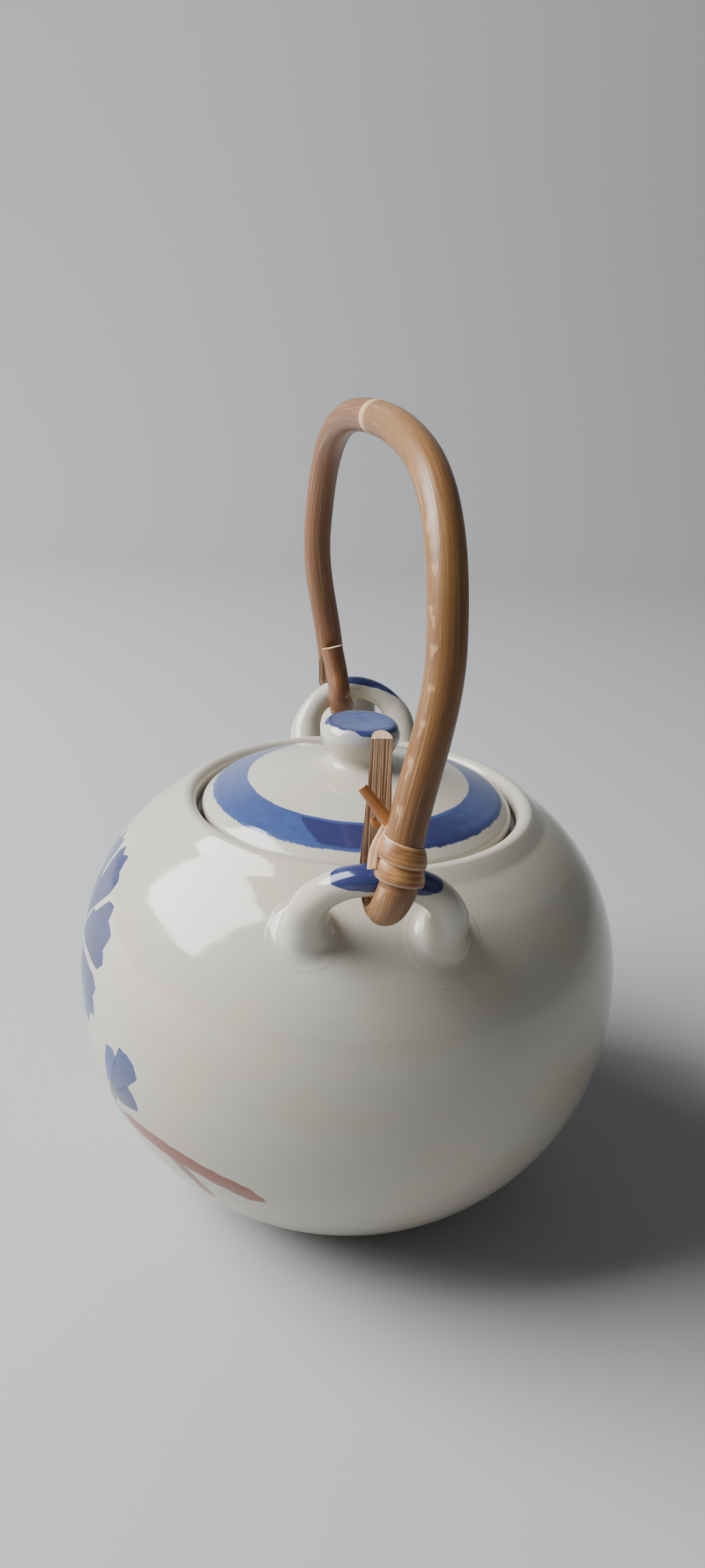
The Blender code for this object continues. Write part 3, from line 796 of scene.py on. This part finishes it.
def make_lug(side, low_y, high_y, depth):
    sides = 48
    arch_rows = 45
    reach = LUG_ARCH_R * math.pi / 2 + 12.0
    columns = []
    skins = []
    for k in range(sides):
        turn = math.tau * k / sides

        def line(s):
            centre, outward, thick, radius = lug_section(side, s)
            lump = noise.noise(centre * 0.11 + outward * 0.6 + thick * math.sin(turn) * 0.8) * 0.35
            return centre + (outward * math.cos(turn) + thick * math.sin(turn)) * (radius + lump)

        column = []
        ends = []
        for sign in (-1, 1):
            at = crossing(line, sign * LUG_ARCH_R * 0.9, sign * reach)
            centre = lug_section(side, at)[0]
            ends.append(fillet(line, centre, at, -sign * 3.2, 3.4, 10))
            ends[-1].append(at - sign * 3.2)
        left, right = ends
        low, high = left.pop(), right.pop()
        column += left[:0:-1]
        column += [line(low + (high - low) * i / arch_rows) for i in range(arch_rows + 1)]
        column += right[1:]
        columns.append(column)
        skins.append((math.cos(turn), math.sin(turn), 0.0))
    rings = [list(ring) for ring in zip(*columns)]
    if side.sign > 0:
        rings = [ring[::-1] for ring in rings]
        skins = skins[::-1]
    material = lug_glaze("glaze_lug_" + side.name, low_y, high_y, depth)
    lug = lofted("lug_" + side.name + "_glazed", rings, material, caps=False,
                 skin=skins * len(rings))
    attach(lug, "pot")
    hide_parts("lug_" + side.name)


def spout_surface(t, turn, shrink=0.0, ahead=0.0):
    """A point of the spout's tube at t from base to tip."""
    path = [Vector((x, 0.0, z)) for x, z in SPOUT_PATH]
    centre = bezier(path, t)
    along = (bezier(path, min(t + 0.01, 1.0)) - bezier(path, max(t - 0.01, 0.0))).normalized()
    normal = Vector((0, 1, 0)).cross(along)
    radius = SPOUT_TIP_R + (SPOUT_BASE_R - SPOUT_TIP_R) * max(1 - t, 0.0) ** 1.5 - shrink
    across = normal * math.cos(turn) + Vector((0, 1, 0)) * math.sin(turn)
    return centre + along * ahead + across * radius


def make_spout():
    sides = 64
    rows = 40
    columns = []
    path = [Vector((x, 0.0, z)) for x, z in SPOUT_PATH]
    for k in range(sides):
        turn = math.tau * k / sides

        def line(t):
            return spout_surface(t, turn)

        at = crossing(line, 0.75, 0.08)
        skirt = fillet(line, bezier(path, at), at, 0.09, 5.5, 12)
        column = skirt[::-1]
        column += [line(at + 0.09 + (1 - at - 0.09) * i / rows) for i in range(1, rows + 1)]
        for i in range(1, 8):
            angle = math.pi * i / 8
            inset = SPOUT_WALL / 2 * (1 - math.cos(angle))
            column.append(spout_surface(1.0, turn, inset, 0.5 * math.sin(angle)))

        def inside(t):
            return spout_surface(t, turn, SPOUT_WALL)

        depth = crossing(inside, 0.75, 0.08)
        column += [inside(1 + (depth - 1) * i / 24) for i in range(25)]
        columns.append(column)
    rings = [list(ring) for ring in zip(*columns)]
    spout = lofted("spout_glazed", rings, plain_glaze("glaze_spout"), crease=60, caps=False)
    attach(spout, "pot")
    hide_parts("spout")


# ---------------------------------------------------------------- lid

def dome_z(r):
    return LID_CROWN_Z - DOME_CURVE * r * r


def make_lid():
    outline = [(0.0, LID_CROWN_Z)]
    outline += [(r, dome_z(r)) for r in np.linspace(1.5, 38.4, 40)]
    outline += arc_points((LID_R - 2.5, LID_EDGE_Z - 0.3), 2.5, 56, -70, 16)
    outline += [(LID_RING_R + 0.6, LEDGE_Z + 0.45), (LID_RING_R, LEDGE_Z - 0.4)]
    outline += [(LID_RING_R, LID_RING_Z + 1.2), (LID_RING_R - 0.3, LID_RING_Z + 0.35)]
    outline += [(LID_RING_R - 1.0, LID_RING_Z), (LID_RING_R - 2.6, LID_RING_Z)]
    outline += [(LID_RING_R - 3.3, LID_RING_Z + 0.35), (LID_RING_R - 3.6, LID_RING_Z + 1.2)]
    outline += [(r, dome_z(r) - LID_WALL) for r in np.linspace(31.4, 2.0, 24)]
    outline += [(0.0, LID_CROWN_Z - LID_WALL)]

    def hand(turn, z):
        return 1.0 - 0.0012 * (1 + math.sin(2 * turn + 1.1)) * (1 if z > LEDGE_Z else 0)

    lid = turned("lid_glazed", outline, 200, lid_glaze("glaze_lid"), hand)
    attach(lid, "lid")
    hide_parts("lid")


def make_knob():
    top = LID_TOP_Z
    corners = [(0.0, top - 0.5), (4.0, top - 0.3), (KNOB_TOP_R - 1.2, top - 0.05),
               (KNOB_TOP_R + 0.1, top - 0.4), (KNOB_R - 0.35, top - 1.9), (KNOB_R, top - 3.6),
               (KNOB_R - 0.5, top - 5.5), (KNOB_NECK_R + 0.9, top - 7.5), (KNOB_NECK_R, top - 9.2)]
    foot = [(KNOB_NECK_R + 0.35, dome_z(8.5) + 1.3), (KNOB_NECK_R + 1.5, dome_z(9.7) + 0.45),
            (KNOB_NECK_R + 3.4, dome_z(11.6) + 0.1), (KNOB_NECK_R + 5.2, dome_z(13.4) - 0.02),
            (KNOB_NECK_R + 6.0, dome_z(14.2) - 0.2)]
    outline = [tuple(p) for p in rounded(corners + foot, 5)]
    outline[0] = (0.0, outline[0][1])
    outline.append((0.0, dome_z(0) - 1.0))

    def hand(turn, z):
        lump = math.sin(2 * turn + 0.7) * 0.012 + math.sin(3 * turn + 2.0) * 0.007
        return 1.0 + lump - 0.012 if z > dome_z(KNOB_NECK_R) else 1.0

    knob = turned("lid_knob_glazed", outline, 120, knob_glaze("glaze_knob"), hand)
    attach(knob, "lid")
    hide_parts("lid_knob")


# ---------------------------------------------------------------- bail handle

def bar_crossing(side):
    """Where the cane crosses the lug bar: the bar's centre and its outward normal."""
    reach, height = lug_arch_centre()
    sine = (side.bar_y - side.lug_y) / LUG_ARCH_R
    cosine = math.sqrt(1 - sine * sine)
    centre = Vector((side.sign * (reach + LUG_ARCH_R * math.sin(LUG_LEAN) * cosine),
                     side.bar_y, height + LUG_ARCH_R * math.cos(LUG_LEAN) * cosine))
    normal = Vector((0.0, sine * math.cos(LUG_LEAN), cosine)).normalized()
    return centre, normal


def arch_point(side, t):
    """The cane's centre along one half of the arch, from the hook up to the top."""
    bar, normal = bar_crossing(side)
    start_x = abs(bar[0]) + side.hook_r * math.cos(LEG_LEAN)
    start_z = bar[2] + side.hook_r * math.sin(LEG_LEAN) * normal[2]
    flat = bezier([Vector((start_x, start_z)),
                   Vector((start_x - LEG_REACH * math.sin(LEG_LEAN),
                           start_z + LEG_REACH * math.cos(LEG_LEAN))),
                   Vector((HANDLE_SHOULDER_X, HANDLE_TOP_Z)),
                   Vector((0.0, HANDLE_TOP_Z))], t)
    rise = min(max((flat[1] - start_z) / TWIST_HEIGHT, 0.0), 1.0)
    ease = rise * rise * (3 - 2 * rise)
    twist = HANDLE_TWIST_LOW + (HANDLE_TWIST_HIGH - HANDLE_TWIST_LOW) * ease
    return Vector((side.sign * flat[0] * math.cos(twist),
                   side.sign * flat[0] * math.sin(twist) + HANDLE_Y, flat[1]))


def hook_point(side, t):
    """Centre and bend side of the cane round the bar, from the leg (0) to the tongue (1)."""
    bar, normal = bar_crossing(side)
    angle = -LEG_LEAN + (math.pi + LEG_LEAN) * t
    out = Vector((side.sign * math.cos(angle), 0, 0)) - normal * math.sin(angle)
    centre = bar + out * side.hook_r
    leg = arch_point(side, 0.0)
    leg_shift = leg[1] - (bar[1] + side.hook_r * math.sin(LEG_LEAN) * normal[1])
    tongue_shift = side.tongue[0][1] - bar[1]
    centre[0] += (leg[0] - side.sign * (abs(bar[0]) + side.hook_r * math.cos(LEG_LEAN))) * (1 - t)
    centre[1] += leg_shift * (1 - t) ** 2 + tongue_shift * t * t
    return centre, -out


def leg_flat(height):
    """How far the leg reaches on the bend's inner side, at a height above the hook."""
    grown = min(max((height - PARED_START) / PARED_LENGTH, 0.0), 1.0)
    return PARED_FLAT + (CANE_R - PARED_FLAT) * grown


def cane_half(side):
    """Stations from the top outwards: (centre, bend side, flat, half width)."""
    arch_steps = 110
    hook_steps = 26
    stations = []
    foot_z = arch_point(side, 0.0)[2]
    for i in range(arch_steps + 1):
        centre = arch_point(side, (1 - i / arch_steps) ** 1.25)
        bend_side = Vector(BEND_CENTRE) - centre
        stations.append((centre, bend_side, leg_flat(centre[2] - foot_z), CANE_R))
    for i in range(1, hook_steps + 1):
        t = i / hook_steps
        centre, bend_side = hook_point(side, t)
        width = CANE_R + (side.tongue[0][4] - CANE_R) * t * t
        stations.append((centre, bend_side, PARED_FLAT, width))
    end = stations[-1]
    rows = [(side.sign * end[0][0], end[0][1], end[0][2], end[2], end[3])]
    rows += side.tongue
    for reach, y, z, flat, width in rounded(rows, 9)[1:]:
        outward = Vector((side.sign, 0, 0))
        stations.append((Vector((side.sign * reach, y, z)), outward, flat, width))
    return stations


def cane_ring(centre, inward, across, flat, width, along):
    """One section of the cane as points, straight coordinates and cutting marks."""
    sides = 72
    corner = max(math.acos(min(flat / CANE_R, 1.0)), math.radians(40))
    half = sides // 2
    angles = [-corner + 2 * corner * i / half for i in range(half)]
    angles += [corner + (math.tau - 2 * corner) * i / half for i in range(half)]
    bulge = 1.0 + 0.028 * math.exp(-((along - 1.0) / 2.2) ** 2)
    points = []
    straight = []
    cutting = []
    for angle in angles:
        u = CANE_R * math.cos(angle)
        v = width * math.sin(angle)
        pared = u > flat + 0.01
        grown = bulge + 0.018 * noise.noise(Vector((u * 0.3, v * 0.3, along * 0.05))) - 0.014
        if pared:
            u = flat - 0.16 * abs(noise.noise(Vector((v * 2.1, 7.0, along * 0.03))))
        points.append(centre + inward * (u * grown) + across * (v * grown))
        straight.append((u, v, along))
        cutting.append((1.0 if pared else 0.0, 0.0, 0.0))
    return points, straight, cutting


def make_cane():
    front = cane_half(FRONT)
    stations = cane_half(BACK)[::-1] + front[1:]
    centres = [s[0] for s in stations]
    lengths = [0.0]
    for a, b in zip(centres, centres[1:]):
        lengths.append(lengths[-1] + (b - a).length)
    top = lengths[len(stations) - len(front)]
    rings = []
    straight = []
    cutting = []
    for i, (centre, bend_side, flat, width) in enumerate(stations):
        along = centres[min(i + 1, len(centres) - 1)] - centres[max(i - 1, 0)]
        along.normalize()
        inward = (bend_side - along * bend_side.dot(along)).normalized()
        section = cane_ring(centre, inward, along.cross(inward), flat, width, top - lengths[i])
        rings.append(section[0])
        straight += section[1]
        cutting += section[2]
    for ring, direction in ((0, 1), (-1, -1)):
        heading = (centres[ring + direction] - centres[ring]).normalized()
        rings[ring] = [p + heading * (0.4 * abs(noise.noise(Vector(p) * 0.9))) for p in rings[ring]]
    sides = len(rings[0])
    for first, ring in ((0, 0), (len(rings) - 1, -1)):
        middle = centres[ring] + sum((Vector(p) - centres[ring] for p in rings[ring]), Vector()) / sides
        inset = [Vector(p) + (middle - Vector(p)) * 0.02 for p in rings[ring]]
        where = len(rings) * sides if first else 0
        rings.insert(len(rings) if first else 0, inset)
        copied = straight[-sides:] if first else straight[:sides]
        straight[where:where] = copied
        cutting[where:where] = [(0.0, 1.0, 0.0)] * sides
    cane = lofted("handle_cane_rattan", rings, cane_material(), crease=38,
                  straight=straight, cutting=cutting)
    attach(cane, "handle")
    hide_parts("handle_cane")


def leg_at_height(side, height):
    """The arch's centre point at a given height, by bisection."""
    low, high = 0.0, 0.5
    for _ in range(40):
        middle = (low + high) / 2
        if arch_point(side, middle)[2] < height:
            low = middle
        else:
            high = middle
    return arch_point(side, low)


def strip_section(centre, across, out, half_width, thickness):
    """A flat strip's section: a low arched skin over a flat back, tapering to the edges."""
    points = []
    weave = []
    count = 12
    for i in range(count + 1):
        q = -1 + 2 * i / count
        crown = (1 - abs(q) ** 3) * 0.62 + 0.38
        points.append(centre + across * (half_width * q) + out * (thickness * (crown - 0.5)))
        weave.append((q, 1.0))
    for i in range(count + 1):
        q = 1 - 2 * i / count
        points.append(centre + across * (half_width * q * 0.97) - out * (thickness * 0.5))
        weave.append((q, 0.0))
    return points, weave


def make_strip(name, path, material, half_width, thickness, taper=0.0):
    """A strip along a path of (centre, out) with its width square to both."""
    rings = []
    weave = []
    length = 0.0
    for i, (centre, out) in enumerate(path):
        before = path[max(i - 1, 0)][0]
        after = path[min(i + 1, len(path) - 1)][0]
        forward = (after - before).normalized()
        length += (centre - before).length
        out = (out - forward * out.dot(forward)).normalized()
        across = out.cross(forward)
        narrow = 1.0 - taper * (i / (len(path) - 1)) ** 2
        ring, marks = strip_section(centre, across, out, half_width * narrow, thickness)
        rings.append(ring)
        weave += [(q, length, skin) for q, skin in marks]
    strip = lofted(name, rings, material, crease=50, weave=weave)
    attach(strip, "handle")
    return strip


def binding_path(side):
    """The strip's centres round the leg: round its bark, close over its pared flat."""
    steps = 64
    path = []
    foot_z = arch_point(side, 0.0)[2]
    for i in range(int(STRIP_TURNS * steps) + 1):
        turn = i / steps
        height = STRIP_BASE_Z + STRIP_PITCH * turn
        up = (leg_at_height(side, height + 2) - leg_at_height(side, height - 2)).normalized()
        angle = math.tau * turn + STRIP_START
        middle = leg_at_height(side, height)
        inward = Vector(BEND_CENTRE) - middle
        inward = (inward - up * inward.dot(up)).normalized()
        across = up.cross(inward)
        clear = STRIP_CLEAR + STRIP_UNEVEN * math.sin(angle * 1.7 + 0.5)
        round_r = CANE_R + clear
        inner_r = round_r
        if math.cos(angle) < 0:
            inner_r = min(leg_flat(height + STRIP_REACH - foot_z) + STRIP_SLACK, CANE_R) + clear
        out = across * (math.sin(angle) / round_r) - inward * (math.cos(angle) / inner_r)
        centre = middle - inward * (inner_r * math.cos(angle)) + across * (round_r * math.sin(angle))
        path.append((centre, (out.normalized() + up * STRIP_TILT).normalized()))
    return path


def make_bindings():
    """The wound strip, its loose tail and stub, and two thin strands that rise from it."""
    brown = strip_material("rattan_strip_skin", (0.50, 0.25, 0.085, 1), (0.22, 0.085, 0.03, 1))
    pale = strip_material("rattan_strip_pale", (0.60, 0.38, 0.19, 1), (0.38, 0.19, 0.08, 1), 0.9)
    orange = strip_material("rattan_strip_orange", (0.42, 0.16, 0.04, 1), (0.30, 0.10, 0.025, 1), 0.25)
    wound = make_strip("binding_back_wound", binding_path(BACK), brown, STRIP_HALF_WIDTH, STRIP_THICK)
    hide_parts("binding_back")
    # name: (material, half width, thickness, route, side that faces out)
    ties = {
        "binding_tail": (orange, 1.5, 0.8, ((-73.4, -5.2, 137.2), (-71.8, -3.4, 140.0),
                                            (-70.6, -0.4, 143.7), (-70.2, 2.9, 147.6)), (-1, 0.2, 0.3)),
        "binding_stub": (orange, 0.8, 0.7, ((-70.4, -3.5, 139.5), (-69.9, -2.0, 139.0),
                                            (-69.8, -0.3, 139.5), (-69.4, 0.4, 140.5)), (-1, 0, 0.2)),
        "binding_strand_1": (pale, 0.8, 0.6, ((-75.0, 0.5, 131.5), (-73.2, 0.1, 135.0),
                                              (-71.8, -1.5, 138.6), (-71.2, -3.0, 141.4)), (-1, 0.5, 0)),
        "binding_strand_2": (pale, 0.6, 0.5, ((-75.6, -0.4, 132.0), (-74.0, -0.9, 136.0),
                                              (-72.6, -2.6, 139.6), (-72.0, -3.9, 142.2)), (-1, 0.5, 0)),
    }
    for name, (material, half_width, thickness, corners, out) in ties.items():
        path = [(Vector(p), Vector(out)) for p in rounded(corners, 8)]
        make_strip(name, path, material, half_width, thickness, 0.3)


# ---------------------------------------------------------------- stage

def make_stage():
    """A pale floor that sweeps up behind the pot, a soft window light and a weak fill."""
    g = Graph("stage_paper")
    g.shader.inputs["Base Color"].default_value = (0.42, 0.42, 0.42, 1)
    g.shader.inputs["Roughness"].default_value = 0.85
    outline = [(-2500.0, 0.0), (900.0, 0.0)]
    outline += arc_points((900.0, 500.0), 500.0, -90, 0, 24)[1:]
    outline += [(1400.0, 2600.0)]
    points = [(x, y, z) for x, z in outline for y in (-2500.0, 2500.0)]
    floor = add_mesh("stage_sweep", points, grid_faces(len(outline), 2, wrap=False), g.material)

    for name, place, target, size, power, tint in (
            ("window", (0.03, 1.05, 0.92), (0.0, 0.0, 0.10), (1.0, 0.95), 60.0, (0.95, 0.98, 1.0)),
            ("fill", (-0.5, -1.3, 1.1), (0.0, 0.0, 0.08), (1.2, 1.2), 0.8, (1.0, 0.96, 0.92))):
        light = bpy.data.lights.new(name, "AREA")
        light.shape = "RECTANGLE"
        light.size, light.size_y = size
        light.energy = power
        light.color = tint
        lamp = bpy.data.objects.new(name, light)
        lamp.location = place
        aim = Vector(target) - Vector(place)
        lamp.rotation_euler = aim.to_track_quat("-Z", "Z").to_euler()
        bpy.context.collection.objects.link(lamp)

    world = bpy.data.worlds.new("studio")
    world.use_nodes = True
    world.node_tree.nodes["Background"].inputs["Color"].default_value = (0.80, 0.86, 0.95, 1)
    world.node_tree.nodes["Background"].inputs["Strength"].default_value = 0.13
    bpy.context.scene.world = world


def make_camera():
    """The picture's viewpoint: behind and above the rear lug, looking to the spout."""
    away = -Vector(CAMERA_AT[:2]).normalized()
    level = Vector((away[0], away[1], 0.0))
    right = level.cross(Vector((0, 0, 1)))
    turned_level = right * math.sin(CAMERA_LEFT) + level * math.cos(CAMERA_LEFT)
    forward = turned_level * math.cos(CAMERA_DOWN) - Vector((0, 0, 1)) * math.sin(CAMERA_DOWN)
    right = forward.cross(Vector((0, 0, 1))).normalized()
    up = right.cross(forward)
    rolled_right = right * math.cos(CAMERA_ROLL) + up * math.sin(CAMERA_ROLL)
    rolled_up = up * math.cos(CAMERA_ROLL) - right * math.sin(CAMERA_ROLL)
    lens = bpy.data.cameras.new("camera")
    lens.sensor_width = 36.0
    lens.lens = CAMERA_LENS
    lens.clip_start = 0.01
    camera = bpy.data.objects.new("camera", lens)
    axes = Matrix((rolled_right, rolled_up, -forward)).transposed().to_4x4()
    camera.matrix_world = Matrix.Translation(Vector(CAMERA_AT) * MM) @ axes
    bpy.context.collection.objects.link(camera)
    bpy.context.scene.camera = camera


make_camera()
make_stage()
make_pot()
make_lug(BACK, -16.0, 8.7, 0.05)
make_lug(FRONT, -16.0, 9.0, 0.0)
make_spout()
make_lid()
make_knob()
make_cane()
make_bindings()
